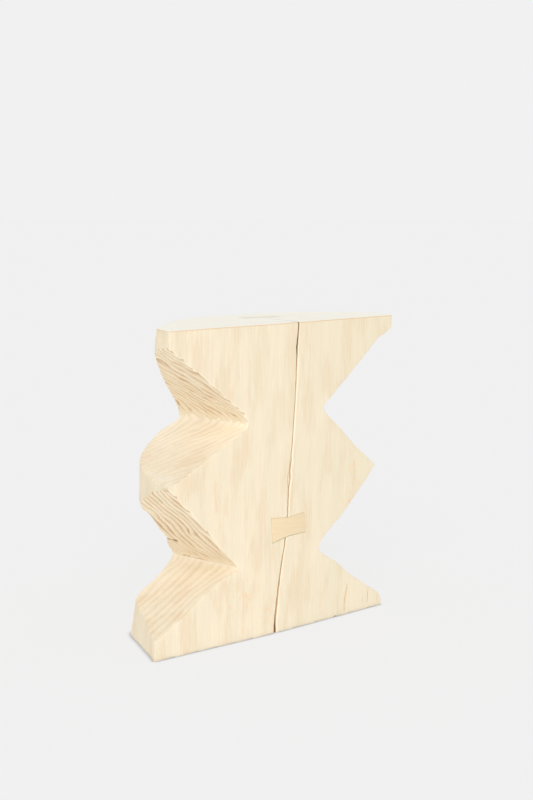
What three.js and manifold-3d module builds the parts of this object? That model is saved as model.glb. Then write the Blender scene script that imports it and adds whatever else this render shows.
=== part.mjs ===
// A carved half-log block: a flat-fronted, round-backed piece of pale wood with two V-notches cut
// through each side, and two bow-tie keys let in across its drying check.
// Millimetres, +Z up, +X along the front, the front facing -Y, the origin under the middle of the block.
import * as THREE from "three";
import { mergeVertices } from "three/addons/utils/BufferGeometryUtils.js";
import Module from "manifold-3d";

const wasm = await Module();
wasm.setup();

// Driving dimensions
const height = 450;
const depth = 182; // from the sawn front's ends to the deepest point of the round back
const frontCrown = 8; // the front stands this far proud along the check, as a dried half log does
const gap = 0.3; // clearance round and behind each key
const past = 20; // how far a cutter reaches past the wood

// The block is drawn from its upper front left corner, then moved over the origin.
const leftmost = -31;
const rightmost = 481;

// The log's round surface seen from above, [x, y] from the front left corner to the front right one.
// The left flank changes from level to level, and the rest of the round runs straight up.
const leftFlank = [
  { z: 0, points: [[leftmost, 0], [16, 87], [50, 143], [94, 157], [138, 164]] },
  { z: 58, points: [[leftmost, 0], [8, 58], [42, 121], [84, 132], [130, 143]] },
  { z: 112, points: [[-18, 0], [10, 57], [50, 100], [88, 118], [127, 136]] },
  { z: 142, points: [[-8, 0], [10, 51], [44, 80], [89, 108], [124, 138]] },
  { z: 182, points: [[-4, 0], [8, 49], [30, 84], [58, 103], [118, 142]] },
  { z: 198, points: [[-3, 0], [14, 66], [38, 110], [64, 130], [118, 156]] },
  { z: 250, points: [[-3, 0], [18, 68], [50, 122], [84, 145], [136, 161]] },
  { z: 293, points: [[-3, 0], [14, 60], [50, 115], [88, 147], [138, 161]] },
  { z: 304, points: [[0, 0], [12, 42], [46, 71], [92, 107], [146, 142]] },
  { z: 428, points: [[0, 0], [6, 37], [44, 70], [92, 107], [140, 142]] },
  { z: height, points: [[0, 0], [17, 45], [50, 75], [92, 111], [138, 142]] },
];
const roundBack = [
  [184, 164], [235, 179], [284, depth], [340, 173], [378, 163], [413, 148],
  [446, 125], [471, 91], [rightmost, 48], [474, 14], [459, 0],
];
const backSteps = 56;

// The zigzag sides seen from the front, [x, z, lift] from the top down. The lobes' outer ends are cut by
// the log's own surface, so the lines run on past it there. A slope cut by hand isn't quite square to
// the front: where there is a lift, its front edge stands that much higher than the wood 90 mm behind.
const leftSide = {
  topLobe: [[-past, height + past], [-past, 446], [1, 425], [29, 397, 10], [67, 374, 5], [103, 353], [125, 337]],
  upperValley: [[140, 325], [148, 314], [147, 305]],
  middleLobe: [
    [136, 295, 5], [102, 278, 5], [27, 246, 1], [-2, 235], [27, 201, 6], [63, 163, 8], [101, 131, 1], [121, 115],
  ],
  lowerValley: [[127, 107]],
  footLobe: [[120, 99, 3], [63, 68, 10], [17, 43, 7], [-10, 27, 9], [-52, 6, 9], [-52, -past]],
};
const liftReach = 90;
const rightSide = {
  topLobe: [[490, height + past], [490, 450], [449, 424], [428, 416], [395, 389], [350, 356]],
  upperValley: [[307, 326], [305, 317]],
  middleLobe: [[317, 306], [343, 286], [378, 255], [411, 232], [424, 222], [407, 205], [350, 157], [307, 128]],
  lowerValley: [[294, 115], [293, 109]],
  footLobe: [[308, 98], [331, 86], [361, 63], [405, 37], [430, 23], [440, 12], [439, -past]],
};

// The drying check: [x, z, width] down the front, and where its tip ends behind the front.
const checkPath = [
  [251, 460, 2.2], [250, 433, 2.4], [246, 412, 2.2], [246, 395, 1.6], [243, 352, 1.4], [234, 265, 1.4],
  [228, 221, 1.5], [226, 173, 1.5], [214, 111, 1.8], [206, 75, 2.2], [199, 30, 3.0], [196, -10, 3.4],
];
const checkTip = { atTop: { x: 290, y: 132 }, atFoot: { x: 214, y: 104 } };

// Bow-tie keys: ends and waist across, measured along the key from its middle.
const frontKey = { leftEnd: 36, waist: 27, rightEnd: 29, length: 69, thick: 20, x: 227, z: 155, turn: 3 };
const topKey = { leftEnd: 30, waist: 20, rightEnd: 28, length: 64, thick: 18, x: 283, y: 108, turn: -14 };
const keyProud = 0.4; // the front key stands this far out of the front at the check

// Geometry helpers
const toRadians = THREE.MathUtils.degToRad;
const mix = THREE.MathUtils.lerp;
const flatPoints = (points) => points.map(([x, y]) => new THREE.Vector2(x, y));

function solidOf(geometry) {
  const bare = geometry.clone();
  bare.deleteAttribute("normal");
  bare.deleteAttribute("uv");
  const merged = mergeVertices(bare, 1e-4);
  return new wasm.Manifold(
    new wasm.Mesh({
      numProp: 3,
      vertProperties: merged.getAttribute("position").array,
      triVerts: new Uint32Array(merged.index.array),
    }),
  );
}

function geometryOf(solid) {
  const { vertProperties, triVerts } = solid.getMesh();
  const geometry = new THREE.BufferGeometry();
  geometry.setAttribute("position", new THREE.BufferAttribute(vertProperties, 3));
  geometry.setIndex(new THREE.BufferAttribute(triVerts, 1));
  const flat = geometry.toNonIndexed();
  flat.computeVertexNormals();
  return flat;
}

// Joins rings of equal point counts, listed from the bottom up, into one closed skin.
// Each ring runs anticlockwise seen from above.
function loft(rings) {
  const count = rings[0].length;
  const faces = [];
  for (let level = 0; level + 1 < rings.length; level++) {
    for (let i = 0; i < count; i++) {
      const a = level * count + i;
      const b = level * count + ((i + 1) % count);
      faces.push(a, b, b + count, a, b + count, a + count);
    }
  }
  const lastRing = (rings.length - 1) * count;
  const capOf = (ring) => THREE.ShapeUtils.triangulateShape(flatPoints(ring), []);
  for (const [a, b, c] of capOf(rings[0])) faces.push(a, c, b);
  for (const [a, b, c] of capOf(rings.at(-1))) faces.push(lastRing + a, lastRing + b, lastRing + c);
  const geometry = new THREE.BufferGeometry();
  geometry.setAttribute("position", new THREE.Float32BufferAttribute(rings.flat(2), 3));
  geometry.setIndex(faces);
  return geometry;
}

// The half log: the round back at each level, closed by the crowned front.
function halfLog() {
  const ringAt = ({ z, points }) => {
    const curve = new THREE.SplineCurve(flatPoints([...points, ...roundBack]));
    const back = curve.getSpacedPoints(backSteps).map((p) => [p.x, p.y, z]);
    const crest = [mix(checkPath.at(-1)[0], checkPath[0][0], z / height), -crownAt(z), z];
    return [...back.reverse(), crest];
  };
  return solidOf(loft(leftFlank.map(ringAt)));
}

// How far the front stands proud along the check: all of the crown at the foot, half of it at the top.
function crownAt(z) {
  return mix(frontCrown, frontCrown / 2, z / height);
}

// Everything between the two zigzag sides, from behind the block to in front of it.
function zigzagBand() {
  const outline = [...Object.values(leftSide).flat(), ...Object.values(rightSide).flat().reverse()];
  const ringAt = (y) => {
    const share = THREE.MathUtils.clamp(1 - y / liftReach, 0, 1);
    return outline.map(([x, z, lift = 0]) => [x, z + lift * share, -y]);
  };
  const band = loft([depth + past, liftReach, 0, -frontCrown - past].map(ringAt));
  band.rotateX(Math.PI / 2);
  return solidOf(band);
}

// The check, a wedge that is open at the front and closes behind it.
function dryingCheck() {
  const front = -frontCrown - past;
  const rings = checkPath.toReversed().map(([x, z, width]) => {
    const share = THREE.MathUtils.clamp(z / height, 0, 1);
    const tip = {
      x: mix(checkTip.atFoot.x, checkTip.atTop.x, share),
      y: mix(checkTip.atFoot.y, checkTip.atTop.y, share),
    };
    const mouth = (width / 2) * ((tip.y - front) / tip.y);
    return [[x - mouth, front, z], [x + mouth, front, z], [tip.x, tip.y, z]];
  });
  return solidOf(loft(rings));
}

// A bow-tie key, its thickness along +Z, or the mortise for it when a clearance is given.
function bowTie(key, clearance = 0) {
  const half = key.length / 2 + clearance;
  const outline = [
    [-half, key.leftEnd / 2], [0, key.waist / 2], [half, key.rightEnd / 2],
    [half, -key.rightEnd / 2], [0, -key.waist / 2], [-half, -key.leftEnd / 2],
  ].map(([x, y]) => [x, y + Math.sign(y) * clearance]);
  const thick = key.thick + (clearance ? clearance + past : 0);
  return new THREE.ExtrudeGeometry(new THREE.Shape(flatPoints(outline.reverse())), {
    depth: thick,
    bevelEnabled: false,
  });
}

// Places a key or its mortise in the front, with its back face at the given depth.
function inFront(geometry, back) {
  geometry.rotateZ(toRadians(frontKey.turn));
  geometry.rotateX(Math.PI / 2);
  geometry.translate(frontKey.x, back, frontKey.z);
  return geometry;
}

// Places a key or its mortise in the top, with its underside at the given height.
function inTop(geometry, underside) {
  geometry.rotateZ(toRadians(topKey.turn));
  geometry.translate(topKey.x, topKey.y, underside);
  return geometry;
}

const frontKeyBack = frontKey.thick - keyProud - crownAt(frontKey.z);
const topKeyUnderside = height - topKey.thick;

const block = halfLog()
  .intersect(zigzagBand())
  .subtract(dryingCheck())
  .subtract(solidOf(inFront(bowTie(frontKey, gap), frontKeyBack + gap)))
  .subtract(solidOf(inTop(bowTie(topKey, gap), topKeyUnderside - gap)));

// The parts
const paleWood = new THREE.MeshStandardMaterial({ color: 0xf2e2c4, roughness: 0.75, metalness: 0 });
const keyWood = new THREE.MeshStandardMaterial({ color: 0xe6cfa4, roughness: 0.65, metalness: 0 });

function piece(name, geometry, material) {
  const mesh = new THREE.Mesh(geometry, material);
  mesh.name = name;
  return mesh;
}

const bounds = block.boundingBox();
const group = new THREE.Group();
group.position.set(-(bounds.min[0] + bounds.max[0]) / 2, -(bounds.min[1] + bounds.max[1]) / 2, 0);
group.add(piece("carved_block", geometryOf(block), paleWood));
group.add(piece("front_key", inFront(bowTie(frontKey), frontKeyBack), keyWood));
group.add(piece("top_key", inTop(bowTie(topKey), topKeyUnderside), keyWood));

export default group;
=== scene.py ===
# A carved half-log block of pale wood: V-notched sides with gouge marks, a sawn front split by a drying
# check, a round back, and two bow-tie keys let in across the check.
import math

import bmesh
import bpy
import numpy as np
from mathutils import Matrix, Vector


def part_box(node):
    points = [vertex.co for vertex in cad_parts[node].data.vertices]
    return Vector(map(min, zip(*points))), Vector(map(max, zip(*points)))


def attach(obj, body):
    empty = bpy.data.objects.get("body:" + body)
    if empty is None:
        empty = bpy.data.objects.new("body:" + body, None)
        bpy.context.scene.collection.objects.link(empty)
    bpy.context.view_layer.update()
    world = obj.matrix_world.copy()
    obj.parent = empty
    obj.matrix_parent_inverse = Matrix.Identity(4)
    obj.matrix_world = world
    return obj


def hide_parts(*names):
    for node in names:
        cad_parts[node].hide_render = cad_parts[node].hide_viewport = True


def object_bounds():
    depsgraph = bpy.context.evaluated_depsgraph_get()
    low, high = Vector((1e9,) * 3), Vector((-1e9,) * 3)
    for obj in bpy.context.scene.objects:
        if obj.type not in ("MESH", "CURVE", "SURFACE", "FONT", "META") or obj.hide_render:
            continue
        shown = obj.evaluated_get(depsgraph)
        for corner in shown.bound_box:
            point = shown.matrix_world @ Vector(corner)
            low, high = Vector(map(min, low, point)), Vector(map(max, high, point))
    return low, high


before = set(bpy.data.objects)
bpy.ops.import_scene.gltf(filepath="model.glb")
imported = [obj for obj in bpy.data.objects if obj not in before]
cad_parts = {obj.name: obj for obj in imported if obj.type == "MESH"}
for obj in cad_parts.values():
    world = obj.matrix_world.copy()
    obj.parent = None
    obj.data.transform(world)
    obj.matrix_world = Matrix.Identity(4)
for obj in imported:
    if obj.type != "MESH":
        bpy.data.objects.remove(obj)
cadLow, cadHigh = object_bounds()
blockLow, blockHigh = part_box("carved_block")
mm = 0.001
height = (blockHigh.z - blockLow.z) / mm

# Shapes are laid out in millimetres from the upper left corner of the front: across to the right along
# the front, back into the wood, and up from the floor. The block's own box reaches past that corner.
cornerInset = {"across": 31, "back": 8}


def toFrame(across, back, up):
    across, back, up = np.broadcast_arrays(across, back, up)
    x = blockLow.x + (across + cornerInset["across"]) * mm
    y = blockLow.y + (back + cornerInset["back"]) * mm
    return np.stack([x, y, blockLow.z + up * mm], axis=-1)


def fromFrame(points):
    across = (points[:, 0] - blockLow.x) / mm - cornerInset["across"]
    back = (points[:, 1] - blockLow.y) / mm - cornerInset["back"]
    return across, back, (points[:, 2] - blockLow.z) / mm


def ease(value, low, high):
    share = np.clip((value - low) / (high - low), 0, 1)
    return share * share * (3 - 2 * share)


def evenly(line, count):
    steps = np.linalg.norm(np.diff(line, axis=0), axis=1)
    run = np.concatenate([[0], np.cumsum(steps)])
    at = np.linspace(0, run[-1], count)
    return np.stack([np.interp(at, run, line[:, k]) for k in range(line.shape[1])], axis=1)


def curveThrough(points, count):
    points = np.array(points, float)
    padded = np.vstack([points[0], points, points[-1]])
    share = np.linspace(0, 1, 20, endpoint=False)[:, None]
    dense = []
    for a, b, c, d in zip(padded, padded[1:], padded[2:], padded[3:]):
        dense.append(0.5 * (2 * b + (c - a) * share + (2 * a - 5 * b + 4 * c - d) * share ** 2
                            + (3 * b - a - 3 * c + d) * share ** 3))
    return evenly(np.vstack([*dense, points[-1:]]), count)


def hills(x, y, seed):
    # smooth random ups and downs between -1 and 1, about one to each unit of x and y
    many = 64
    table = np.random.default_rng(seed).uniform(-1, 1, (many, many))
    x, y = np.broadcast_arrays(np.asarray(x, float), np.asarray(y, float))
    i, j = np.floor(x).astype(int), np.floor(y).astype(int)
    u, v = ease(x - i, 0, 1), ease(y - j, 0, 1)
    i, j, nextI, nextJ = i % many, j % many, (i + 1) % many, (j + 1) % many
    near = table[i, j] * (1 - u) + table[nextI, j] * u
    far = table[i, nextJ] * (1 - u) + table[nextI, nextJ] * u
    return near * (1 - v) + far * v


def ripple(along, size, length, seed):
    # the same along a line: how big the ups and downs are, and how long
    return size * hills(along / length, 0.5, seed)


def chance(i, j, seed):
    # one fixed random number between 0 and 1 for each pair of whole numbers
    many = 128
    table = np.random.default_rng(seed).uniform(0, 1, (many, many))
    return table[np.asarray(i, int) % many, np.asarray(j, int) % many]


def deselectAll():
    bpy.ops.object.select_all(action="DESELECT")


def pickOnly(piece):
    deselectAll()
    piece.select_set(True)
    bpy.context.view_layer.objects.active = piece


def startEditing(piece):
    pickOnly(piece)
    bpy.ops.object.mode_set(mode="EDIT")
    bpy.ops.mesh.select_all(action="SELECT")


def stopEditing():
    bpy.ops.object.mode_set(mode="OBJECT")


def selectWhere(piece, test):
    # selects the points that pass the test; the piece is being edited
    shape = bmesh.from_edit_mesh(piece.data)
    for point in shape.verts:
        point.select = test(point.co)
    shape.select_flush_mode()
    bmesh.update_edit_mesh(piece.data)


def readPoints(piece):
    points = np.empty(len(piece.data.vertices) * 3)
    piece.data.vertices.foreach_get("co", points)
    return points.reshape(-1, 3)


def writePoints(piece, points):
    piece.data.vertices.foreach_set("co", np.ascontiguousarray(points, dtype=np.float32).ravel())
    piece.data.update()


def loft(name, outlines, heights):
    # a ring is added, extruded once for each height, and every ring is then shaped to its outline
    # of (across, back) points, which run anticlockwise seen from above
    outlines, heights = np.array(outlines), np.array(heights, float)
    around = outlines.shape[1]
    deselectAll()
    bpy.ops.mesh.primitive_circle_add(vertices=around, radius=1, fill_type="NGON", location=(0, 0, 0))
    piece = bpy.context.object
    piece.name = name
    startEditing(piece)
    for _ in heights[1:]:
        bpy.ops.mesh.extrude_region_move(TRANSFORM_OT_translate={"value": (0, 0, 1)})
    stopEditing()
    points = readPoints(piece)
    level = np.rint(points[:, 2]).astype(int)
    spot = np.rint(np.arctan2(points[:, 1], points[:, 0]) / (2 * math.pi) * around).astype(int) % around
    placed = outlines[level, spot]
    writePoints(piece, toFrame(placed[:, 0], placed[:, 1], heights[level]))
    faceOutwards(piece)
    return piece


def faceOutwards(piece):
    startEditing(piece)
    bpy.ops.mesh.normals_make_consistent(inside=False)
    stopEditing()


def finishWith(piece, kind, **values):
    modifier = piece.modifiers.new(kind.lower(), kind)
    for name, value in values.items():
        setattr(modifier, name, value)
    pickOnly(piece)
    bpy.ops.object.modifier_apply(modifier=modifier.name)


def cutAway(piece, cutter):
    finishWith(piece, "BOOLEAN", operation="DIFFERENCE", solver="MANIFOLD", object=cutter)
    bpy.data.objects.remove(cutter, do_unlink=True)


def triangleCount(piece):
    return sum(len(face.vertices) - 2 for face in piece.data.polygons)


# The log blank. The flank gives the round surface on the left at a few heights, as (across, back) pairs
# from the front left corner; the rest of the round stands straight up.
logShape = {
    "flank": {
        0: [(-31, 0), (16, 87), (50, 143), (94, 157), (138, 164)],
        58: [(-31, 0), (8, 58), (42, 121), (84, 132), (130, 143)],
        112: [(-18, 0), (10, 57), (50, 100), (88, 118), (127, 136)],
        142: [(-8, 0), (10, 51), (44, 80), (89, 108), (124, 138)],
        182: [(-4, 0), (8, 49), (30, 84), (58, 103), (118, 142)],
        198: [(-3, 0), (14, 66), (38, 110), (64, 130), (118, 156)],
        250: [(-3, 0), (18, 68), (50, 122), (84, 145), (136, 161)],
        293: [(-3, 0), (14, 60), (50, 115), (88, 147), (138, 161)],
        304: [(0, 0), (12, 42), (46, 71), (92, 107), (146, 142)],
        428: [(0, 0), (6, 37), (44, 70), (92, 107), (140, 142)],
        450: [(0, 0), (17, 45), (50, 75), (92, 111), (138, 142)],
    },
    "round": [(184, 164), (235, 179), (284, 182), (340, 173), (378, 163), (413, 148),
              (446, 125), (471, 91), (481, 48), (474, 14), (459, 0)],
    "softening": 5,       # how far up and down one flank outline runs into the next
    "crown": (8, 4),      # how far the front stands proud along the check, at the foot and at the top
    "aroundBack": 250,    # points round the back, and along the front, of each ring
    "aroundFront": 110,
    "level": 5,
    "wayRound": 745,      # length of the round surface, from one edge of the front to the other
    "bulge": {"depth": 1.6, "wide": 70, "tall": 110},       # its slow unevenness
    "facet": {"depth": 0.55, "wide": 21, "tall": 120},      # drawknife flats on it
    "facetSway": {"size": 9, "wide": 90, "tall": 160},
    "planing": 0.35,      # unevenness of the sawn and planed front, and how wide and tall it is
    "planingReach": (34, 150),
    "calm": (30, 20),     # the surface runs smooth this near an edge, on the back and on the front
}


def checkCentre(up):
    heights = [point[1] for point in checkShape["path"]][::-1]
    places = [point[0] for point in checkShape["path"]][::-1]
    return np.interp(up, heights, places)


def logOutline(up):
    heights = sorted(logShape["flank"])
    flank = []
    nearby = up + np.linspace(-1, 1, 7) * logShape["softening"]
    for k in range(len(logShape["flank"][0])):
        spots = np.array([logShape["flank"][h][k] for h in heights], float)
        flank.append([np.interp(nearby, heights, spots[:, 0]).mean(),
                      np.interp(nearby, heights, spots[:, 1]).mean()])
    line = curveThrough(flank + logShape["round"], logShape["aroundBack"])
    wayRound, bulge = logShape["wayRound"], logShape["bulge"]
    facet, sway = logShape["facet"], logShape["facetSway"]
    along = np.linspace(0, 1, len(line)) * wayRound
    tangent = np.gradient(line, axis=0)
    inward = np.stack([tangent[:, 1], -tangent[:, 0]], axis=1)
    inward /= np.linalg.norm(inward, axis=1, keepdims=True)
    flats = (along + sway["size"] * hills(along / sway["wide"], up / sway["tall"], 3)) / facet["wide"]
    scoop = 4 * (flats % 1) * (1 - flats % 1)
    dent = facet["depth"] * scoop * (0.5 + 0.5 * hills(np.floor(flats), up / facet["tall"], 5))
    dent = dent + bulge["depth"] * (0.5 + 0.5 * hills(along / bulge["wide"], up / bulge["tall"], 7))
    backCalm, frontCalm = logShape["calm"]
    fade = ease(along, 0, backCalm) * ease(wayRound - along, 0, backCalm)
    line = line + inward * (dent * fade)[:, None]
    count = logShape["aroundFront"]
    crest = checkCentre(up)
    crown = np.interp(up, [0, height], logShape["crown"])
    across = np.linspace(line[-1, 0], line[0, 0], count + 2)[1:-1]
    proud = np.interp(across, [line[0, 0], crest, line[-1, 0]], [0, crown, 0])
    wide, tall = logShape["planingReach"]
    uneven = logShape["planing"] * hills(across / wide, up / tall, 11)
    edges = ease(across - line[0, 0], 0, frontCalm) * ease(line[-1, 0] - across, 0, frontCalm)
    front = np.stack([across, -proud + (uneven + logShape["planing"]) * edges], axis=1)
    return np.vstack([line, front])[::-1]


def makeLogBlank():
    levels = int(round(height / logShape["level"]))
    heights = np.linspace(0, height, levels + 1)
    return loft("carvedBlock", [logOutline(up) for up in heights], heights)


# The notches, each drawn as the line its two slopes make on the front, from its upper mouth through the
# valley to its lower mouth. Where a point has a third number, the front edge of the slope stands that much
# higher than the wood behind it. Then the gouge marks left on each slope, and how strongly they show.
notches = {
    "leftUpper": {
        "line": [(-60, 486), (1, 425), (14, 411, 5), (29, 397, 10), (67, 374, 5), (103, 353),
                 (125, 337), (140, 325), (148, 314), (147, 305), (136, 295, 5), (102, 278, 5),
                 (27, 246, 1), (-2, 235), (-60, 213)],
        "upper": "rough", "lower": "faint", "seed": 21, "strength": 1,
    },
    "leftLower": {
        "line": [(-60, 303), (-2, 235), (27, 201, 6), (63, 163, 8), (101, 131, 1), (121, 115), (127, 107),
                 (120, 99, 3), (63, 68, 10), (17, 43, 7), (-10, 27, 9), (-60, 2, 9)],
        "upper": "chiselled", "lower": "broad", "seed": 34, "strength": 1,
    },
    "rightUpper": {
        "line": [(560, 495), (490, 450), (449, 424), (428, 416), (395, 389), (350, 356), (307, 326),
                 (305, 317), (317, 306), (343, 286), (378, 255), (411, 232), (424, 222), (560, 117)],
        "upper": "rough", "lower": "faint", "seed": 55, "strength": 0.45,
    },
    "rightLower": {
        "line": [(560, 358), (424, 222), (407, 205), (350, 157), (307, 128), (294, 115), (293, 109),
                 (308, 98), (331, 86), (361, 63), (405, 37), (430, 23), (440, 12), (440, -30)],
        "upper": "chiselled", "lower": "broad", "seed": 89, "strength": 0.45,
    },
}

# Gouge marks: their width and depth, how far they drift back for each step outwards, how they wander, how
# unsteady they are, the length of a stroke, the share of the depth that belongs to the single stroke,
# where across its width a mark is lowest, and how much the strokes vary.
gougeMarks = {
    "rough": {"width": 13.5, "depth": 3.8, "drift": 0.5, "wander": 14, "unsteady": 5.5,
              "stroke": 34, "broken": 0.45, "lowest": 0.3, "varied": 0.55},
    "chiselled": {"width": 13.0, "depth": 3.6, "drift": 0.3, "wander": 12, "unsteady": 4.2,
                  "stroke": 60, "broken": 0.3, "lowest": 0.25, "varied": 0.5},
    "faint": {"width": 14.5, "depth": 0.9, "drift": 0.6, "wander": 9, "unsteady": 3.5,
              "stroke": 46, "broken": 0.3, "lowest": 0.25, "varied": 0.6},
    "broad": {"width": 15.0, "depth": 1.2, "drift": 0.05, "wander": 5, "unsteady": 2.0,
              "stroke": 110, "broken": 0.2, "lowest": 0.2, "varied": 0.45},
}
# What all the marks share: how far their unevenness reaches, and how a stroke bites and leaves the wood.
strokes = {
    "wanderReach": (55, 40), "unsteadyReach": (17, 13),
    "laneShift": 0.3, "laneReach": (2.3, 90),
    "strokeStart": 5, "strokeShift": 0.25, "strokeReach": 25,
    "bite": 0.12, "leaveFrom": 0.45, "leave": 0.75,
    "straight": 0.55, "hollow": 0.45,       # shares of a straight and of a hollow cut
    # the line values are painted shade, standing in for the shade at the bottom of each gouge
    "lineShade": 0.45, "deepShade": 0.55,     # darkness of every line, and what a deep one adds
}
# Wood torn out of the upper slope of a notch: a line from one (out, back) spot to another, the depth the
# surface is sunk behind it and how far back that fades, how far the painted shadow under its edge reaches, and
# how strong it is.
tears = {
    "leftLower": [
        {"from": (53, 122), "to": (47, 84), "depth": 2.6, "fade": 26, "shade": 11, "dark": 1.7},
        {"from": (2, 112), "to": (2, 56), "depth": 0.8, "fade": 6, "shade": 4, "dark": 1.2},
    ],
    "leftUpper": [{"from": (66, 58), "to": (40, 40), "depth": 1.4, "fade": 7, "shade": 5, "dark": 1.1}],
}
tearEdge = {"coarse": (2.2, 11), "fine": (0.8, 4), "drop": 1.6}     # jags as (size, length), and the step
notchCut = {
    "spacing": 1.5,       # of the cutter's points
    "past": 22,           # how far it reaches past the wood, at the back and in front
    "outside": 30,        # and beyond the mouth of the notch
    "rounding": 8,
    "raised": 0.4,        # the share of a mark's depth that stands above the slope
    "valleyCalm": 2, "shadeCalm": 12,
    "liftReach": 90,
}


def gougeMark(out, back, marks, seed):
    # how deep a spot lies in its mark, as a share of the depth, and how near the bottom line it is, as the
    # painted shade of that line
    (farOut, farBack), (nearOut, nearBack) = strokes["wanderReach"], strokes["unsteadyReach"]
    wander = marks["wander"] * hills(out / farOut, back / farBack, seed)
    wander = wander + marks["unsteady"] * hills(out / nearOut, back / nearBack, seed + 5)
    lane = (back - marks["drift"] * out + wander) / marks["width"]
    lanes, laneOut = strokes["laneReach"]
    lane = lane + strokes["laneShift"] * hills(lane / lanes, out / laneOut, seed + 1)
    mark = np.floor(lane)
    across = lane - mark
    start = strokes["strokeStart"] * chance(mark, 3, seed + 2)
    shift = strokes["strokeShift"] * hills(mark, out / strokes["strokeReach"], seed + 3)
    run = out / marks["stroke"] + start + shift
    stroke = np.floor(run)
    along = run - stroke
    size = 1 - marks["varied"] * (1 - chance(mark, stroke, seed + 4))
    chip = ease(along, 0, strokes["bite"]) * (1 - strokes["leave"] * ease(along, strokes["leaveFrom"], 1))
    size = size * (1 - marks["broken"] + marks["broken"] * chip)
    low = marks["lowest"]
    step = np.where(across < low, across / low, (1 - across) / (1 - low))
    cut = strokes["straight"] * step + strokes["hollow"] * np.sin(math.pi / 2 * step)
    return size * cut, (strokes["lineShade"] + strokes["deepShade"] * size) * step


def tearMark(out, back, name):
    depth, edge = np.zeros(np.shape(out)), np.zeros(np.shape(out))
    for k, tear in enumerate(tears.get(name, [])):
        start, stop = np.array(tear["from"], float), np.array(tear["to"], float)
        length = np.linalg.norm(stop - start)
        along = (stop - start) / length
        run = ((out - start[0]) * along[0] + (back - start[1]) * along[1]) / length
        behind = (back - start[1]) * -along[0] + (out - start[0]) * along[1]
        behind = (behind + ripple(run * length, *tearEdge["coarse"], 301 + k)
                  + ripple(run * length, *tearEdge["fine"], 311 + k))
        ends = ease(run, -0.05, 0.1) * ease(1 - run, -0.05, 0.25)
        sunk = ease(behind, 0, tearEdge["drop"]) * (1 - ease(behind, 3, tear["fade"]))
        depth += tear["depth"] * ends * sunk
        # painted shadow just behind the torn edge, where the overhang shades it
        shade = ends * ease(behind, -1.5, 0.2) * (1 - ease(behind, tear["shade"] / 2, tear["shade"]))
        edge = np.maximum(edge, tear["dark"] * shade)
    return depth, edge


def slopeMarks(out, back, name):
    # depth of the tool marks in millimetres and the painted shade along their lines, on both slopes of a notch
    notch = notches[name]
    upper, lower = gougeMarks[notch["upper"]], gougeMarks[notch["lower"]]
    upperDepth, upperShade = gougeMark(-out, back, upper, notch["seed"])
    lowerDepth, lowerShade = gougeMark(out, back, lower, notch["seed"] + 7)
    torn, edge = tearMark(-out, back, name)
    calm = ease(np.abs(out), 0, notchCut["valleyCalm"])
    upperDepth = (upperDepth - notchCut["raised"]) * upper["depth"] + torn
    lowerDepth = (lowerDepth - notchCut["raised"]) * lower["depth"]
    depth = np.where(out < 0, upperDepth, lowerDepth) * notch["strength"]
    upperShade = np.maximum(upperShade * ease(-out, 0, notchCut["shadeCalm"]), edge)
    line = np.where(out < 0, upperShade, lowerShade)
    return depth * calm, line * calm * math.sqrt(notch["strength"])


def notchLine(notch):
    line = np.array([(*point, 0)[:3] for point in notch["line"]], float)
    length = np.linalg.norm(np.diff(line, axis=0), axis=1).sum()
    line = evenly(line, int(length / notchCut["spacing"]))
    window = int(notchCut["rounding"] / notchCut["spacing"]) | 1
    padded = np.pad(line, ((window // 2, window // 2), (0, 0)), mode="edge")
    kernel = np.ones(window) / window
    soft = np.stack([np.convolve(padded[:, k], kernel, mode="valid") for k in range(3)], axis=1)
    soft[[0, -1]] = line[[0, -1]]
    return soft


def notchRun(name):
    # the line of a notch, its lift, the way along it from the valley, and the direction into the wood
    line, lift = np.split(notchLine(notches[name]), [2], axis=1)
    fromLeft = name.startswith("left")
    valley = int(np.argmax(line[:, 0]) if fromLeft else np.argmin(line[:, 0]))
    steps = np.linalg.norm(np.diff(line, axis=0), axis=1)
    run = np.concatenate([[0], np.cumsum(steps)])
    tangent = np.gradient(line, axis=0)
    tangent /= np.linalg.norm(tangent, axis=1, keepdims=True)
    inward = np.stack([-tangent[:, 1], tangent[:, 0]], axis=1)
    if (inward[valley, 0] > 0) != fromLeft:
        inward = -inward
    return line, lift[:, 0], run - run[valley], tangent, inward


def makeNotchCutter(name):
    line, lift, out, _, inward = notchRun(name)
    fromLeft = name.startswith("left")
    deep = (cadHigh.y - cadLow.y) / mm + 2 * notchCut["past"]
    rows = int(deep / notchCut["spacing"])
    deselectAll()
    bpy.ops.mesh.primitive_grid_add(x_subdivisions=len(line) - 1, y_subdivisions=rows, size=2)
    cutter = bpy.context.object
    cutter.name = name
    points = readPoints(cutter)
    i = np.rint((points[:, 0] + 1) / 2 * (len(line) - 1)).astype(int)
    back = (points[:, 1] + 1) / 2 * deep - notchCut["past"] - cornerInset["back"]
    depth, _ = slopeMarks(out[i], back, name)
    place = line[i] + inward[i] * depth[:, None]
    raised = lift[i] * np.clip(1 - back / notchCut["liftReach"], 0, 1)
    writePoints(cutter, toFrame(place[:, 0], back, place[:, 1] + raised))
    # the extruded side is moved well away first, to tell its points from the rest
    aside, outwards = 9, -1 if fromLeft else 1
    startEditing(cutter)
    bpy.ops.mesh.extrude_region_move(TRANSFORM_OT_translate={"value": (outwards * aside, 0, 0)})
    stopEditing()
    points = readPoints(cutter)
    mouth = toFrame(line[0, 0], 0, 0)[0] + outwards * notchCut["outside"] * mm
    points[np.abs(points[:, 0]) > aside / 2, 0] = mouth
    writePoints(cutter, points)
    faceOutwards(cutter)
    return cutter


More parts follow.
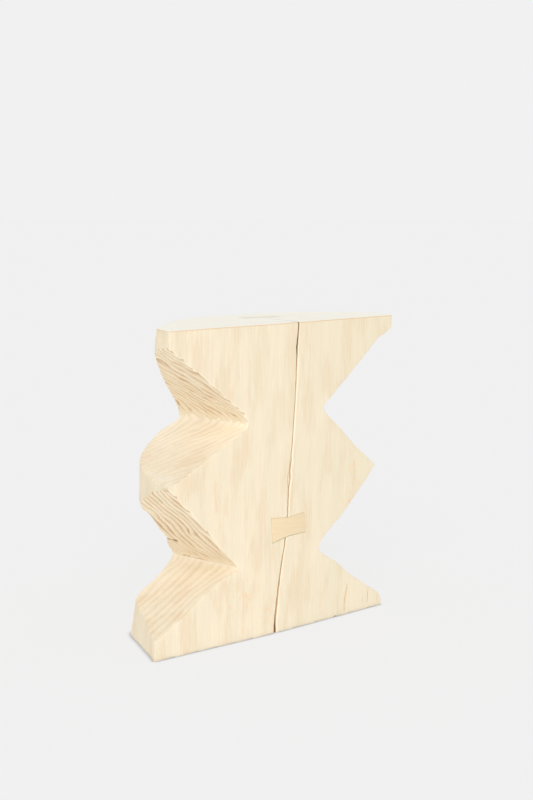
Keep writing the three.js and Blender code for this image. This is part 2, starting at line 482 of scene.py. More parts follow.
# The drying check: (across, up, width) down the front, and where its tip ends inside the wood. The lip and
# the closing are given by height.
checkShape = {
    "path": [(251.5, 462, 2.4), (250, 440, 2.8), (246.6, 414, 3.8), (246.4, 402, 2.8), (245, 383, 2.2),
             (243, 352, 1.9), (239.5, 312, 1.7), (236, 279, 1.8), (232.9, 255, 1.8), (233.2, 250, 1.8),
             (230.6, 240, 2.8), (230.2, 222, 1.8), (227.3, 208, 2.0), (225.3, 173, 2.0), (218.6, 127, 2.2),
             (213, 106, 2.4), (208.5, 84, 3.0), (204.4, 62, 3.4), (200, 35, 3.8), (197.4, 18, 4.0),
             (196.2, -12, 4.4)],
    "tip": {"top": (290, 132), "foot": (214, 104)},
    "leftLip": 0.7,                           # how far its edges are eased back
    "rightLip": {0: 4.6, 22: 3.8, 60: 2.2, 110: 1.6, 175: 2.2, 215: 3.4, 390: 3.2, 410: 1.2},
    "closing": {0: 0.7, 20: 0.4, 60: 0.3, 395: 0.25, 410: 0.8},    # share of its width at the first wall
    "walls": (9, 30), "farClosing": 0.4,      # how deep its two walls end
    "jags": ((0.4, 6), (0.25, 2.6)),          # (size, length) of the unevenness of its course,
    "widthJag": (0.25, 9),                    # its width
    "tipJag": (1.5, 25),                      # and its tip
    "level": 3,
    "outside": 12,
}
# The short checks: a sliver's hairline beside the drying check, the open one near the right of the foot,
# and two fine ones beyond that.
sideChecks = {
    "sliver": {"path": [(231, 256, 0.3), (230, 247, 1.2), (228.6, 236, 1.1), (225.6, 229, 1.1),
                        (225, 221, 1.1), (225.6, 213, 1.1), (227, 207, 0.3)], "depth": 3},
    "footCheck": {"path": [(359.5, 47, 0.6), (358.2, 40, 3.2), (356.6, 33, 5.4), (354.6, 25, 6.4),
                           (353.2, 16, 5.6), (352.4, 9, 4.0), (351.8, 3.5, 0.6)], "depth": 2.4},
    "endCheck": {"path": [(408.2, 30, 0.3), (407.7, 22, 1.4), (407.2, 13, 1.4), (406.9, 6, 0.3)],
                 "depth": 1.5},
    "faintCheck": {"path": [(396.4, 20, 0.3), (396, 15, 0.9), (395.8, 9, 0.3)], "depth": 1},
}
sideCut = {"level": 1.5, "jag": (0.2, 4), "outside": 6, "flare": 1.6, "halfBottom": 0.1}
# A chip broken off the bottom edge: where it lies, its length, width and depth, its two turns, its roughness.
chips = {
    "footEdge": {"at": (331, -3.5, 0.6), "size": (13, 5, 2.6), "tilt": 8, "turn": 24, "rough": 0.6},
}


def frontFace(across, up):
    # how far back the front is there
    crown = np.interp(up, [0, height], logShape["crown"])
    crest = checkCentre(up)
    right = logShape["round"][-1][0]
    return -crown * np.where(across < crest, across / crest, (right - across) / (right - crest))


def checkTip(up):
    share = np.clip(up / height, 0, 1)
    foot, top = checkShape["tip"]["foot"], checkShape["tip"]["top"]
    return foot[0] + (top[0] - foot[0]) * share, foot[1] + (top[1] - foot[1]) * share


def atHeight(up, values):
    return np.interp(up, list(values), list(values.values()))


def makeCheckCutter():
    # each level is a wedge with eased lips: out in front, lip, wall, tip and back out again
    path = np.array(checkShape["path"])[::-1]
    heights = np.arange(path[0, 1], path[-1, 1], checkShape["level"])
    left, outside = checkShape["leftLip"], checkShape["outside"]
    coarse, fine = checkShape["jags"]
    flare = outside * 0.6
    outlines = []
    for up in heights:
        jag = ripple(up, *coarse, 61) + ripple(up, *fine, 62)
        across = np.interp(up, path[:, 1], path[:, 0]) + jag
        half = np.interp(up, path[:, 1], path[:, 2]) * (1 + ripple(up, *checkShape["widthJag"], 63)) / 2
        right = atHeight(up, checkShape["rightLip"])
        inner = half * atHeight(up, checkShape["closing"])
        last = inner * checkShape["farClosing"]
        tipAcross, tipBack = checkTip(up)
        tip = (tipAcross + ripple(up, *checkShape["tipJag"], 64), tipBack)
        face = float(frontFace(across, up)) + logShape["planing"]
        deep, deeper = (face + wall for wall in checkShape["walls"])
        middle, farther = (across + (tip[0] - across) * (at - face) / (tip[1] - face)
                           for at in (deep, deeper))
        outlines.append([
            (across - half - left - flare, face - outside),
            (across + half + right + flare, face - outside),
            (across + half + right, face), (across + half + 0.3 * right, face + 0.35 * right + 0.3),
            (across + half, face + 0.8 * right + 0.8), (middle + inner, deep),
            (farther + last, deeper), tip, (farther - last, deeper),
            (middle - inner, deep), (across - half, face + 1.0), (across - half - left, face)])
    return loft("checkCutter", outlines, heights)


def makeSideCheckCutter(name):
    shape = sideChecks[name]
    path = np.array(shape["path"])[::-1]
    heights = np.arange(path[0, 1], path[-1, 1], sideCut["level"])
    outside, flare, bottom = sideCut["outside"], sideCut["flare"], sideCut["halfBottom"]
    outlines = []
    for up in heights:
        across = np.interp(up, path[:, 1], path[:, 0]) + ripple(up, *sideCut["jag"], 71)
        half = np.interp(up, path[:, 1], path[:, 2]) / 2
        face = float(frontFace(across, up)) + logShape["planing"]
        deep = face + shape["depth"]
        outlines.append([(across - half * flare, face - outside), (across + half * flare, face - outside),
                         (across + half, face), (across + bottom, deep), (across - bottom, deep),
                         (across - half, face)])
    return loft(name + "Cutter", outlines, heights)


def makeChipCutter(name):
    # a splinter: a cube drawn out thin and narrowed at both ends
    chip = chips[name]
    deselectAll()
    bpy.ops.mesh.primitive_cube_add(size=1, location=(0, 0, 0))
    cutter = bpy.context.object
    cutter.name = name + "Cutter"
    startEditing(cutter)
    bpy.ops.mesh.subdivide(number_cuts=5)
    bpy.ops.transform.resize(value=[size * mm for size in chip["size"]])
    stopEditing()
    points = readPoints(cutter)
    end = np.abs(points[:, 0]) / (chip["size"][0] * mm / 2)
    points[:, 1:] *= (1.05 - end ** 2)[:, None]
    rough = [hills(points[:, 0] * 300, 0.5, 81), hills(points[:, 0] * 260, 1.5, 82)]
    points[:, 1:] += chip["rough"] * mm * np.stack(rough, axis=1)
    writePoints(cutter, points)
    startEditing(cutter)
    for turn, axis in (("tilt", "Y"), ("turn", "Z")):
        bpy.ops.transform.rotate(value=-math.radians(chip[turn]), orient_axis=axis,
                                 center_override=(0, 0, 0))
    bpy.ops.transform.translate(value=toFrame(*chip["at"]))
    stopEditing()
    return cutter


# The two bow-tie keys let in across the check: ends and waist, length, thickness, how each is turned, and
# how much wider its mortise is on one side.
keyShapes = {
    "front_key": {"name": "frontKey", "leftEnd": 36, "waist": 27, "rightEnd": 29, "length": 69,
                  "thick": 20, "turn": 3, "onTop": False, "looseSide": 0.55},
    "top_key": {"name": "topKey", "leftEnd": 30, "waist": 20, "rightEnd": 28, "length": 64,
                "thick": 18, "turn": -14, "onTop": True, "looseSide": 0.1},
}
keyFit = {"clearance": 0.25, "easedEdge": 0.6, "past": 6}


def makeBowTie(node, name, grow=0, loose=0, past=0):
    # a cube is drawn out to the key's length, split at its waist, narrowed or widened to each end and
    # turned into its place; grow, loose and past make it the cutter for its mortise
    shape = keyShapes[node]
    low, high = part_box(node)
    long, thick = shape["length"] + 2 * grow, shape["thick"] + grow + past
    deselectAll()
    bpy.ops.mesh.primitive_cube_add(size=1, location=(0, 0, 0))
    key = bpy.context.object
    key.name = name
    startEditing(key)
    bpy.ops.transform.resize(value=(long * mm, (shape["waist"] + 2 * grow) * mm, thick * mm))
    bpy.ops.mesh.bisect(plane_co=(0, 0, 0), plane_no=(1, 0, 0))
    for side, end in ((-1, "leftEnd"), (1, "rightEnd")):
        widen = (shape[end] + 2 * grow) / (shape["waist"] + 2 * grow)
        selectWhere(key, lambda point: point.x * side > long * mm / 4)
        bpy.ops.transform.resize(value=(1, widen, 1), center_override=(0, 0, 0))
    if loose:
        selectWhere(key, lambda point: point.y < 0)
        bpy.ops.transform.translate(value=(0, -loose * mm, 0))
    bpy.ops.mesh.select_all(action="SELECT")
    if not grow:
        bpy.ops.mesh.bevel(offset=keyFit["easedEdge"] * mm, segments=2, affect="EDGES")
    out = (past - grow) / 2 * mm
    turn = math.radians(shape["turn"])
    bpy.ops.transform.rotate(value=-turn, orient_axis="Z", center_override=(0, 0, 0))
    if shape["onTop"]:
        place = (low + high) / 2 + Vector((0, 0, out))
    else:
        bpy.ops.transform.rotate(value=-math.pi / 2, orient_axis="X", center_override=(0, 0, 0))
        place = (low + high) / 2 - Vector((0, out, 0))
    bpy.ops.transform.translate(value=place)
    stopEditing()
    return key


def makeMortiseCutter(node):
    loose = keyShapes[node]["looseSide"]
    return makeBowTie(node, node + "Mortise", keyFit["clearance"], loose, keyFit["past"])


# What the finish needs to know of the surface: the painted shade of each spot's tool mark, how near it
# is to a valley, for painted light, how far inside a check it is, for painted shade, and the checks' lips.
surfaceNotes = {
    "markReach": 7,                        # tool lines are noted this near a slope
    # glow marks where light is painted near a valley
    "valley": (13, 4), "glow": (20, 90),   # all of it this near a valley, none this much further
    # checkDark is the depth where the painted shade in a check is full, sideDark the most it reaches in a
    # short one
    "checkDark": 8, "sideDark": 0.1,       # depth where a check is darkest, the most in a short one
    "besideCheck": 4.5, "besideShort": 4, "shortDepth": 15, "besideLip": 7, "lipDepth": 4,
    "wallSteep": 0.75, "shortSteep": 0.3, "lipSteep": 0.2, "level": 0.5,
}


def addNote(piece, name, values, domain="POINT"):
    note = piece.data.attributes.new(name, "FLOAT", domain)
    note.data.foreach_set("value", np.ascontiguousarray(values, dtype=np.float32))


def nearValleys(piece, reach, fade):
    # 1 at the bottom of each notch, down to 0 beyond it
    across, _, up = fromFrame(readPoints(piece))
    near = np.zeros(len(across))
    for name, notch in notches.items():
        line = notchLine(notch)
        deepest = line[np.argmax(line[:, 0]) if name.startswith("left") else np.argmin(line[:, 0])]
        away = np.hypot(across - deepest[0], up - deepest[1])
        near = np.maximum(near, 1 - ease(away, reach, reach + fade))
    return near


def noteGrooves(piece):
    across, back, up = fromFrame(readPoints(piece))
    dark = np.zeros(len(across))
    atOnce = 4000         # points compared with the line in one go
    for name in notches:
        line, lift, out, tangent, _ = notchRun(name)
        low, high = line.min(axis=0) - 10, line.max(axis=0) + 20
        near = np.flatnonzero((across > low[0]) & (across < high[0]) & (up > low[1]) & (up < high[1]))
        for some in np.array_split(near, max(1, len(near) // atOnce)):
            spot = np.stack([across[some], up[some]], axis=1)
            raised = np.zeros(len(some))
            for _ in range(2):
                gap = spot - np.stack([np.zeros(len(some)), raised], axis=1)
                away = np.hypot(gap[:, :1] - line[None, :, 0], gap[:, 1:] - line[None, :, 1])
                closest = away.argmin(axis=1)
                raised = lift[closest] * np.clip(1 - back[some] / notchCut["liftReach"], 0, 1)
            rest = ((gap - line[closest]) * tangent[closest]).sum(axis=1)
            _, shade = slopeMarks(out[closest] + rest, back[some], name)
            shade = np.where(away.min(axis=1) < surfaceNotes["markReach"], shade, 0)
            dark[some] = np.maximum(dark[some], shade)
    # the values noted for the tool lines are painted shade
    addNote(piece, "grooveShade", dark)
    for name in ("valley", "glow"):
        addNote(piece, name, nearValleys(piece, *surfaceNotes[name]))


def noteChecks(piece):
    # only the walls inside a check are marked, corner by corner
    notes, mesh = surfaceNotes, piece.data
    across, back, up = fromFrame(readPoints(piece))
    sides = np.empty(len(mesh.polygons) * 3)
    mesh.polygons.foreach_get("normal", sides)
    sides = sides.reshape(-1, 3)
    totals = np.empty(len(mesh.polygons), dtype=int)
    mesh.polygons.foreach_get("loop_total", totals)
    corners = np.empty(len(mesh.loops), dtype=int)
    mesh.loops.foreach_get("vertex_index", corners)
    owner = np.repeat(np.arange(len(totals)), totals)

    def allCorners(test):
        return np.bincount(owner, test[corners], len(totals)) == totals

    face = frontFace(across, up) + logShape["planing"]
    centre = checkCentre(up)
    tipAcross, tipBack = checkTip(up)
    middle = centre + (tipAcross - centre) * np.clip((back - face) / (tipBack - face), 0, 1)
    inMain = np.abs(across - middle) < notes["besideCheck"]
    inCheck = inMain.copy()
    for shape in sideChecks.values():
        path = np.array(shape["path"])[::-1]
        beside = np.abs(across - np.interp(up, path[:, 1], path[:, 0])) < notes["besideShort"]
        inCheck |= beside & (up > path[0, 1] - 1) & (up < path[-1, 1] + 1) & (back < notes["shortDepth"])
    sideways, upright = np.abs(sides[:, 0]), np.abs(sides[:, 2]) < notes["level"]
    wall = (sideways > notes["wallSteep"]) & upright
    wall = wall | allCorners(inCheck & ~inMain) & (sideways > notes["shortSteep"]) & upright
    deep = (back - face) / notes["checkDark"] + 0.04
    deep = np.clip(deep, 0, np.where(inMain, 1, notes["sideDark"]))
    addNote(piece, "inCheck", np.where((wall & allCorners(inCheck))[owner], deep[corners], 0), "CORNER")
    lip = (sideways > notes["lipSteep"]) & ~wall & (sides[:, 1] < 0)
    nearLip = (np.abs(across - middle) < notes["besideLip"]) & (back < notes["lipDepth"])
    addNote(piece, "lip", np.where((lip & allCorners(nearLip))[owner], 1.0, 0.0), "CORNER")


meshing = {"voxel": 1.3, "smoothing": 0.5, "triangles": 184000, "creaseAngle": 50}


print("log blank")
block = makeLogBlank()
for name in notches:
    print("notch", name)
    cutAway(block, makeNotchCutter(name))
finishWith(block, "REMESH", mode="VOXEL", voxel_size=meshing["voxel"] * mm)
finishWith(block, "SMOOTH", factor=meshing["smoothing"], iterations=1)
finishWith(block, "DECIMATE", ratio=meshing["triangles"] / triangleCount(block))
noteGrooves(block)
print("checks, chip and mortises")
cutAway(block, makeCheckCutter())
for name in sideChecks:
    cutAway(block, makeSideCheckCutter(name))
for name in chips:
    cutAway(block, makeChipCutter(name))
for node in keyShapes:
    cutAway(block, makeMortiseCutter(node))
noteChecks(block)
block.data.materials.clear()
block.data.polygons.foreach_set("material_index", np.zeros(len(block.data.polygons), dtype=int))
print("triangles", triangleCount(block))
keys = {node: makeBowTie(node, keyShapes[node]["name"]) for node in keyShapes}
for piece in [block, *keys.values()]:
    pickOnly(piece)
    bpy.ops.object.shade_smooth_by_angle(angle=math.radians(meshing["creaseAngle"]))

print("finishes")


def newGroup(name, inputs, outputs):
    # a node group with its named sockets; an input is a socket kind, or a number it starts from
    group = bpy.data.node_groups.new(name, "ShaderNodeTree")
    for label, kind in inputs.items():
        socketType = "NodeSocketVector" if kind == "vector" else "NodeSocketFloat"
        socket = group.interface.new_socket(label, in_out="INPUT", socket_type=socketType)
        if kind != "vector":
            socket.default_value = kind
    for label in outputs:
        group.interface.new_socket(label, in_out="OUTPUT", socket_type="NodeSocketFloat")
    return group


def addNode(tree, kind, inputs=(), **settings):
    # a node with its settings; each of its inputs is a number, a colour or another node's output
    node = tree.nodes.new("ShaderNode" + kind)
    for name, value in settings.items():
        setattr(node, name, value)
    for name, value in dict(inputs).items():
        if isinstance(value, bpy.types.NodeSocket):
            tree.links.new(value, node.inputs[name])
        else:
            node.inputs[name].default_value = value
    return node


def calc(tree, operation, *values):
    return addNode(tree, "Math", enumerate(values), operation=operation).outputs[0]


def putOut(group, results):
    end = group.nodes.new("NodeGroupOutput")
    for label, value in results.items():
        group.links.new(value, end.inputs[label])


def times(tree, first, *others):
    for other in others:
        first = calc(tree, "MULTIPLY", first, other)
    return first


def noise(tree, vector, scale, detail=2.0, **inputs):
    values = {"Vector": vector, "Scale": scale, "Detail": detail, **inputs}
    return addNode(tree, "TexNoise", values).outputs["Fac"]


def between(tree, value, low, high, toLow=0.0, toHigh=1.0):
    node = addNode(tree, "MapRange", {"Value": value, "From Min": low, "From Max": high, "To Min": toLow,
                                      "To Max": toHigh}, interpolation_type="SMOOTHSTEP")
    return node.outputs["Result"]


def ranging(tree, mask, ends):
    # one end where the mask is 0, the other where it is 1
    return between(tree, mask, 0.0, 1.0, *ends)


def note(tree, name):
    return addNode(tree, "Attribute", attribute_name=name).outputs["Fac"]


def tint(tree, share, under, over):
    # the colour under, turned towards the colour over by a varying share
    node = addNode(tree, "Mix", {"Factor": share}, data_type="RGBA")
    for socket, value in ((node.inputs[6], under), (node.inputs[7], over)):
        if isinstance(value, bpy.types.NodeSocket):
            tree.links.new(value, socket)
        else:
            socket.default_value = (*value, 1)
    return node.outputs[2]


# The grain: how it is drawn out along the trunk, and the noise scale and the reach of what is seen in it.
grainLook = {
    "drawnOut": (1, 1, 0.045), "slow": (1, 1, 0.3), "flat": (1, 1, 0),
    "bendScale": 11.0, "bend": 0.05,
    "ringScale": 30.0, "ringEdge": 2.2, "rings": (0.35, 0.65),
    "fibres": (0.3, 0.7), "mottle": (0.36, 0.64),
    "streakScale": 70.0, "streaks": (0.36, 0.68),
    "speckScale": 330.0, "specks": (0.58, 0.72), "patchScale": 17.0, "patches": (0.48, 0.64),
}


def makeGrainGroup():
    # wood seen in three ways: growth rings round an upright pith, fine fibres along it, and slow mottling
    look = grainLook
    group = newGroup("woodGrain", {"Position": "vector", "Ring Spacing": 0.009, "Fibre Width": 0.0017,
                                   "Mottle Size": 0.03},
                     ("Rings", "Fibres", "Mottle", "Streaks", "Flecks"))
    start = group.nodes.new("NodeGroupInput")

    def scaled(by):
        values = {0: start.outputs["Position"], 1: by}
        return addNode(group, "VectorMath", values, operation="MULTIPLY").outputs[0]

    drawnOut, slow, flat = scaled(look["drawnOut"]), scaled(look["slow"]), scaled(look["flat"])
    bend = noise(group, slow, look["bendScale"], 3.0)
    radius = addNode(group, "VectorMath", {0: flat}, operation="LENGTH").outputs["Value"]
    swayed = calc(group, "ADD", radius, times(group, bend, look["bend"]))
    turn = times(group, calc(group, "DIVIDE", swayed, start.outputs["Ring Spacing"]), 2 * math.pi)
    wave = calc(group, "MULTIPLY_ADD", calc(group, "SINE", turn), 0.5, 0.5)
    uneven = between(group, noise(group, slow, look["ringScale"]), *look["rings"])
    fine = calc(group, "DIVIDE", 1.0, start.outputs["Fibre Width"])
    size = calc(group, "DIVIDE", 1.0, start.outputs["Mottle Size"])
    speck = between(group, noise(group, slow, look["speckScale"], 1.0), *look["specks"])
    patch = between(group, noise(group, slow, look["patchScale"]), *look["patches"])
    putOut(group, {
        "Rings": times(group, calc(group, "POWER", wave, look["ringEdge"]), uneven),
        "Fibres": between(group, noise(group, drawnOut, fine, 4.0, Roughness=0.6), *look["fibres"]),
        "Mottle": between(group, noise(group, slow, size, 3.0), *look["mottle"]),
        "Streaks": between(group, noise(group, drawnOut, look["streakScale"], 3.0), *look["streaks"]),
        "Flecks": times(group, speck, patch),
    })
    return group


# How steep a face is, or how much it faces forwards, where each kind of surface starts and ends.
facingLook = {"level": (0.9, 0.985), "slope": (0.16, 0.42), "front": (0.35, 0.62), "under": (0.1, -0.1)}


def makeFacingMasks():
    # tooled slopes, sawn end grain, edges of a slope, what faces down, and the upright round back
    look = facingLook
    group = newGroup("sawnAndTooled", {"Normal": "vector", "Valley": 0.0},
                     ("Tooled", "EndGrain", "Edge", "Under", "Side"))
    start = group.nodes.new("NodeGroupInput")
    parts = addNode(group, "SeparateXYZ", {"Vector": start.outputs["Normal"]})
    steep = calc(group, "ABSOLUTE", parts.outputs["Z"])
    facing = between(group, calc(group, "ABSOLUTE", parts.outputs["Y"]), *look["front"])
    level = between(group, steep, *look["level"])
    slope = times(group, between(group, steep, *look["slope"]), calc(group, "SUBTRACT", 1.0, level))
    slope = calc(group, "MAXIMUM", slope, start.outputs["Valley"])
    upright = calc(group, "SUBTRACT", 1.0, calc(group, "MAXIMUM", slope, level))
    turnedAway = calc(group, "SUBTRACT", 1.0, facing)
    putOut(group, {
        "Tooled": times(group, slope, turnedAway), "EndGrain": level, "Edge": times(group, slope, facing),
        "Under": between(group, parts.outputs["Z"], *look["under"]),
        "Side": times(group, upright, turnedAway),
    })
    return group


def placeGrain(tree, grain, location, rotation):
    place = tree.nodes.new("ShaderNodeTexCoord").outputs
    values = {"Vector": place["Object"], "Location": location, "Rotation": rotation}
    trunk = addNode(tree, "Mapping", values).outputs["Vector"]
    spot = addNode(tree, "SeparateXYZ", {"Vector": place["Object"]}).outputs
    return place, spot, addNode(tree, "Group", {"Position": trunk}, node_tree=grain)


def addBump(tree, shader, relief, strength, distance):
    bump = addNode(tree, "Bump", {"Height": relief, "Strength": strength, "Distance": distance})
    tree.links.new(bump.outputs["Normal"], shader.inputs["Normal"])


def startMaterial(name, roughness):
    material = bpy.data.materials.new(name)
    material.use_nodes = True
    tree = material.node_tree
    shader = tree.nodes["Principled BSDF"]
    shader.inputs["Roughness"].default_value = roughness
    shader.inputs["Specular IOR Level"].default_value = 0.25
    return material, tree, shader


# Bleached wood, as linear colours: the face with its rings, fibres, patches and flecks and painted shade to
# the right, the gouged slopes with painted shade along their lines, painted shadow at torn spots and painted
# light near the valleys, the sawn ends with a painted sheen, the round back in painted shade, painted
# highlights on edges and lips, and the walls of the check and the painted shade deep in it.
paleWood = {
    "face": (0.91, 0.79, 0.605), "ring": (0.78, 0.645, 0.455), "fibre": (0.75, 0.62, 0.43),
    "rosy": (0.88, 0.705, 0.505), "coolAndShaded": (0.81, 0.735, 0.55), "fleck": (0.88, 0.60, 0.38),
    "tooled": (0.845, 0.70, 0.485), "grooveShade": (0.54, 0.345, 0.175), "torn": (0.34, 0.19, 0.08),
    "endGrainAndSheen": (0.95, 0.93, 0.85), "side": (0.76, 0.69, 0.52), "edge": (0.90, 0.80, 0.62),
    "rim": (0.74, 0.50, 0.28), "inside": (0.30, 0.165, 0.07), "wall": (0.74, 0.54, 0.32),
    "lip": (0.95, 0.86, 0.69), "paleAndLit": (0.98, 0.88, 0.70),
}
# How strongly each one shows. A pair is its share where there is none of what it follows, and all of it.
woodShares = {
    "rosy": (0.0, 0.8), "streaks": 0.55, "shadeRight": (0.0, 0.55), "side": 0.55, "rings": 0.16,
    "fibresBySide": (0.6, 1.0), "fibresByMottle": (0.45, 1.0), "flecks": 0.8, "tooledByUnder": (0.12, 0.22),
    "paintedLightByHeight": (0.6, 1.0), "paintedLightByUnder": (0.9, 0.25), "linesByUnder": (0.2, 1.0),
    "linesByMottle": (0.65, 1.0), "endGrainAndSheen": 0.85, "underEdgeHighlight": 0.8, "rim": 0.6, "lip": 0.85,
}
# Where they start and end: along the front and up in metres, or on the grain's or the surface's own scale.
woodReach = {
    "rosy": (0.5, 1.0), "shadeRight": (-0.2, 0.2), "paintedLightUp": (0.12, 0.2), "lines": (0.28, 0.88),
    "torn": (1.05, 1.5), "rimUp": (0.4480, 0.4490), "wall": (0.0, 0.12), "inside": (0.08, 0.5),
    "shadeTop": (0.385, 0.41), "shadeFoot": (0.03, 0.01),
}
keyWood = {
    "face": (0.84, 0.69, 0.46), "ring": (0.78, 0.60, 0.37), "fibre": (0.75, 0.57, 0.35),
    "paleAndLit": (0.83, 0.79, 0.70),
    # the top key is greyer and paler on top, partly its own colour and partly a painted sheen
    "rings": 0.4, "fibres": 0.3, "paleAndLitUp": (0.40, 0.43),    # the key in the top is greyer
}


def makePaleWood(grain, worked):
    colours, shares, reach = paleWood, woodShares, woodReach
    material, tree, shader = startMaterial("paleWood", 0.62)
    place, spot, wood = placeGrain(tree, grain, (-0.012, 0.125, 0), (0.02, -0.035, 0))
    across, up = spot["X"], spot["Z"]
    kind = addNode(tree, "Group", {"Normal": place["Normal"], "Valley": note(tree, "valley")},
                   node_tree=worked)
    rings, fibres, mottle, streaks, flecks = wood.outputs
    tooled, endGrainAndSheen, edge, under, side = kind.outputs

    def paint(over, share, *more):
        # turns the colour so far towards another one by the product of the shares
        nonlocal colour
        colour = tint(tree, times(tree, share, *more), colour, colours[over])

    # the sawn face and the round back, with painted shade towards the right of the face and on the round back
    colour = colours["face"]
    paint("rosy", between(tree, mottle, *reach["rosy"], *shares["rosy"]))
    paint("coolAndShaded", streaks, shares["streaks"])
    # painted shade, darker towards the right of the front, where less light falls; the same colour tints the
    # grain streaks
    paint("coolAndShaded", between(tree, across, *reach["shadeRight"], *shares["shadeRight"]))
    # painted shade on the upright round back and ends, turned away from the front
    paint("side", side, shares["side"])
    paint("ring", rings, shares["rings"])
    paint("fibre", fibres, ranging(tree, side, shares["fibresBySide"]),
          ranging(tree, mottle, shares["fibresByMottle"]))
    paint("fleck", flecks, shares["flecks"])

    # the gouged slopes
    grooveShade = note(tree, "grooveShade")
    paint("tooled", tooled, ranging(tree, under, shares["tooledByUnder"]))
    # painted light near the valleys, where the overhanging lobe shades the lower slope
    paint("paleAndLit", note(tree, "glow"), between(tree, up, *reach["paintedLightUp"], *shares["paintedLightByHeight"]),
          tooled, ranging(tree, under, shares["paintedLightByUnder"]))
    # painted shade along the tool lines, strongest on slopes that face down
    paint("grooveShade", between(tree, grooveShade, *reach["lines"]), tooled,
          ranging(tree, under, shares["linesByUnder"]), ranging(tree, mottle, shares["linesByMottle"]))
    # painted shadow, brown, under the edges of the torn spots
    paint("torn", between(tree, grooveShade, *reach["torn"]), tooled)

    # the sawn ends, paler end grain with a painted sheen, and the edges, with a painted highlight on those
    # facing down
    paint("endGrainAndSheen", endGrainAndSheen, shares["endGrainAndSheen"])
    # painted highlight on the rounded edges of slopes that face down
    paint("edge", edge, under, shares["underEdgeHighlight"])
    corner = calc(tree, "SUBTRACT", 1.0, calc(tree, "MAXIMUM", endGrainAndSheen, side))
    paint("rim", between(tree, up, *reach["rimUp"]), corner, shares["rim"])

    # the check: a painted highlight on its lips, its walls, and brown painted shade deeper inside, strongest
    # at the top and at the foot
    inside = note(tree, "inCheck")
    # painted highlight on the eased lips of the checks
    paint("lip", note(tree, "lip"), shares["lip"])
    paint("wall", between(tree, inside, *reach["wall"]))
    shadedEnds = calc(tree, "MAXIMUM", between(tree, up, *reach["shadeTop"], 0.2, 1.0),
                   between(tree, up, *reach["shadeFoot"]))
    # brown painted shade deeper inside the check
    paint("inside", between(tree, inside, *reach["inside"]), shadedEnds)
    tree.links.new(colour, shader.inputs["Base Color"])
    addBump(tree, shader, calc(tree, "ADD", times(tree, fibres, 0.6), rings), 0.25, 0.0004)
    return material


def makeKeyWood(grain):
    colours = keyWood
    material, tree, shader = startMaterial("keyWood", 0.6)
    _, spot, wood = placeGrain(tree, grain, (0, 0, 0.07), (0, math.radians(87), 0))
    wood.inputs["Ring Spacing"].default_value = 0.0045
    rings, fibres = wood.outputs["Rings"], wood.outputs["Fibres"]
    colour = tint(tree, times(tree, rings, colours["rings"]), colours["face"], colours["ring"])
    colour = tint(tree, times(tree, fibres, colours["fibres"]), colour, colours["fibre"])
    # paler top: greyer wood with a painted sheen
    greyed = between(tree, spot["Z"], *colours["paleAndLitUp"], 0.0, 0.85)
    colour = tint(tree, greyed, colour, colours["paleAndLit"])
    tree.links.new(colour, shader.inputs["Base Color"])
    addBump(tree, shader, fibres, 0.2, 0.0003)
    return material


grainGroup = makeGrainGroup()
block.data.materials.append(makePaleWood(grainGroup, makeFacingMasks()))
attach(block, "root")
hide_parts("carved_block")
keyFinish = makeKeyWood(grainGroup)
for node, key in keys.items():
    key.data.materials.append(keyFinish)
    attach(key, "root")
    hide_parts(node)

print("studio")
studio = {
    "shown": 0.879, "floorShown": 0.727,        # brightness of the wall and the floor to the camera
    "wallLight": 0.8, "floorLight": 0.85,       # and as light on the wood
    "floorDiffuse": 0.15,
    "floorSize": 80,
    "contact": 0.55, "contactReach": 0.008,     # the shadow where the foot meets the floor
    "sun": {"from": (-0.62, -0.60, 0.58), "energy": 0.98, "soft": 35},
    "lamp": {"at": (-1.75, -1.05, 0.45), "towards": (0, 0, 0.2), "size": 0.9, "power": 2.5},
    "camera": {"at": (-1.7580, -1.7857, 0.6259), "down": 6.71, "round": -45.36, "lens": 76.6, "sensor": 36},
}

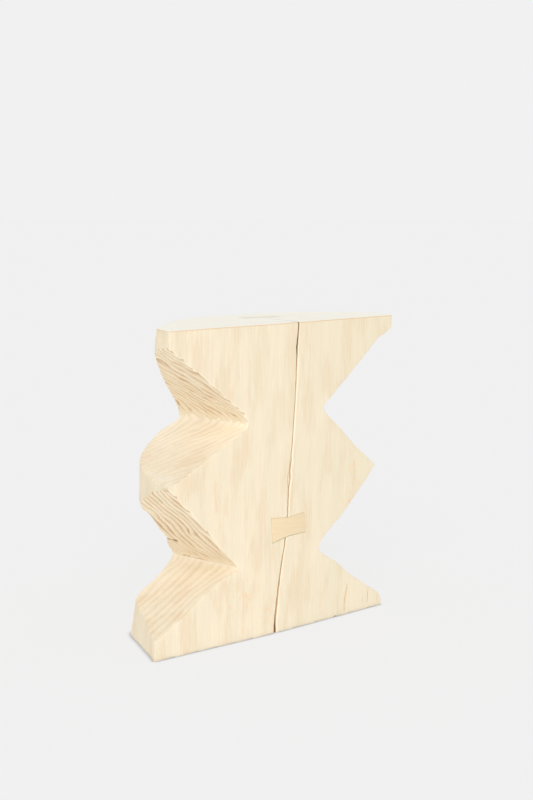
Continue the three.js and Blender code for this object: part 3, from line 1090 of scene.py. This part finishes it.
scene = bpy.context.scene
scene.view_settings.view_transform = "Standard"
world = bpy.data.worlds.new("studio")
scene.world = world
world.use_nodes = True
tree = world.node_tree
seen = addNode(tree, "LightPath").outputs["Is Camera Ray"]
wall = calc(tree, "MULTIPLY_ADD", seen, studio["shown"] - studio["wallLight"], studio["wallLight"])
tree.links.new(wall, tree.nodes["Background"].inputs["Strength"])
tree.nodes["Background"].inputs["Color"].default_value = (1, 1, 1, 1)

deselectAll()
bpy.ops.mesh.primitive_plane_add(size=studio["floorSize"], location=(0, 0, 0))
floor = bpy.context.object
floor.name = "floor"
floorPaint, tree, shader = startMaterial("floorPaint", 1.0)
diffuse = studio["floorDiffuse"]
shader.inputs["Base Color"].default_value = (diffuse, diffuse, diffuse, 1)
shader.inputs["Specular IOR Level"].default_value = 0
shader.inputs["Emission Color"].default_value = (1, 1, 1, 1)
seen = addNode(tree, "LightPath").outputs["Is Camera Ray"]
lit = studio["floorLight"]
glow = calc(tree, "MULTIPLY_ADD", seen, studio["floorShown"] - lit, lit)
contact = addNode(tree, "AmbientOcclusion", {"Distance": studio["contactReach"]}, samples=8)
shade = between(tree, contact.outputs["AO"], 0.4, 1.0, 1 - studio["contact"], 1.0)
tree.links.new(times(tree, glow, shade), shader.inputs["Emission Strength"])
floor.data.materials.append(floorPaint)


def addLight(name, kind, at, towards=(0, 0, 0)):
    deselectAll()
    bpy.ops.object.light_add(type=kind, location=at)
    light = bpy.context.object
    light.name = name
    light.rotation_euler = (Vector(at) - Vector(towards)).to_track_quat("Z", "Y").to_euler()
    return light


sun = studio["sun"]
light = addLight("sunLight", "SUN", [3 * side for side in sun["from"]])
light.data.energy = sun["energy"]
light.data.angle = math.radians(sun["soft"])
lamp = studio["lamp"]
light = addLight("softLamp", "AREA", lamp["at"], lamp["towards"])
light.data.shape = "SQUARE"
light.data.size = lamp["size"]
light.data.energy = lamp["power"]
light.visible_camera = False

view = studio["camera"]
cameraData = bpy.data.cameras.new("camera")
cameraData.lens = view["lens"]
cameraData.sensor_width = view["sensor"]
camera = bpy.data.objects.new("camera", cameraData)
camera.location = view["at"]
camera.rotation_euler = (math.radians(90 - view["down"]), 0, math.radians(view["round"]))
scene.collection.objects.link(camera)
scene.camera = camera
